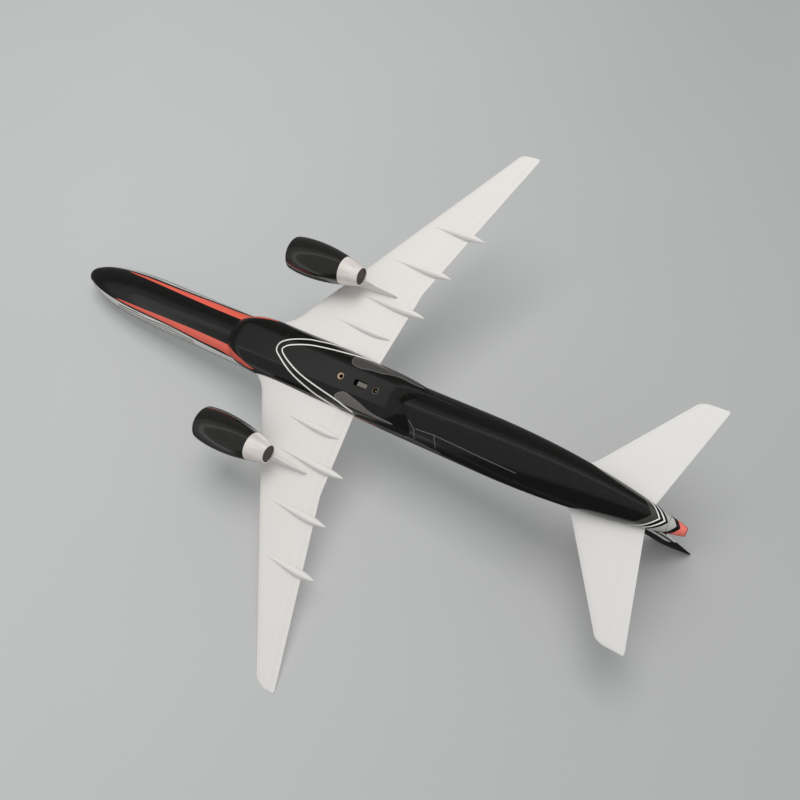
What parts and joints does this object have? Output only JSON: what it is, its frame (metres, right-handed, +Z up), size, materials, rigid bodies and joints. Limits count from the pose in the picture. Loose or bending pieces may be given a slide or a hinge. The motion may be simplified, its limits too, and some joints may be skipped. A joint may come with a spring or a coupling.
{
  "type": "airliner display model",
  "caption": "Low-wing jet airliner display model with under-wing engines, belly fairing with stand insert, slide switch and charging jack, and a lit hollow cabin.",
  "frame": {"origin": "on the centreline, on the flat face of the belly pad, 10 mm ahead of the stand insert's axis", "axes": "+Y runs from the nose towards the tail, +X is the aircraft's left (port) side and +Z is up, so the model hangs above its belly pad as it does on its stand"},
  "size_m": [0.3812, 0.4657, 0.1314],
  "materials": {
    "airframe_black": "glossy black enamel with coral, white and silver livery bands",
    "body_white": "light silver-white gloss enamel on the crown, livery bands on the flanks",
    "wing_white": "satin white enamel with fine panel lines",
    "fin_black": "glossy black enamel with a pale swirl",
    "tail_coral": "glossy coral red enamel",
    "nozzle_silver": "warm polished silver",
    "plug_brown": "dark brown, satin",
    "lip_metal": "polished metal",
    "fan_metal": "satin warm silver",
    "pin_steel": "bright steel",
    "insert_brass": "machined brass",
    "lever_grey": "light grey plastic",
    "switch_black": "black plastic",
    "jack_nickel": "bright nickel plate",
    "pane_smoke": "smoked clear plastic",
    "board_green": "green circuit board",
    "lamp_white": "white lamp body",
    "cell_blue": "blue shrink sleeve",
    "wire_red": "red insulation",
    "wire_black": "black insulation"
  },
  "bodies": {
    "airframe": {"battery": "cell_blue", "battery_wire": "wire_red", "belly_fairing": "airframe_black", "engine_core_left": "fan_metal", "engine_core_right": "fan_metal", "engine_cowl_left": "airframe_black", "engine_cowl_right": "airframe_black", "exhaust_nozzle_left": "nozzle_silver", "exhaust_nozzle_right": "nozzle_silver", "exhaust_plug_left": "plug_brown", "exhaust_plug_right": "plug_brown", "fan_pin_left": "pin_steel", "fan_pin_right": "pin_steel", "fin": "fin_black", "fuselage_lower": "airframe_black", "fuselage_upper": "body_white", "intake_lip_left": "lip_metal", "intake_lip_right": "lip_metal", "jack_barrel": "jack_nickel", "jack_pin": "pin_steel", "jack_wire": "wire_black", "lamp_1": "lamp_white", "lamp_2": "lamp_white", "lamp_3": "lamp_white", "lamp_4": "lamp_white", "light_board": "board_green", "light_wire": "wire_black", "pylon_left": "wing_white", "pylon_right": "wing_white", "stand_insert": "insert_brass", "switch_body": "switch_black", "tail_cone": "tail_coral", "tailplane_left": "wing_white", "tailplane_right": "wing_white", "window_strip_left": "pane_smoke", "window_strip_right": "pane_smoke", "windshield": "pane_smoke", "wing_left": "wing_white", "wing_right": "wing_white"},
    "fan_left": {"fan_left": "fan_metal"},
    "fan_right": {"fan_right": "fan_metal"},
    "switch_lever": {"switch_lever": "lever_grey"}
  },
  "joints": [
    {"name": "fan_left_spin", "type": "hinge", "parent": "airframe", "child": "fan_left", "pos_m": [0.064, -0.0535, -0.0049], "axis": [0, 1, 0], "continuous": true},
    {"name": "fan_right_spin", "type": "hinge", "parent": "airframe", "child": "fan_right", "pos_m": [-0.064, -0.0535, -0.0049], "axis": [0, 1, 0], "continuous": true},
    {"name": "switch_lever_slide", "type": "slide", "parent": "airframe", "child": "switch_lever", "axis": [0, -1, 0], "range_m": [0, 0.002]}
  ]
}
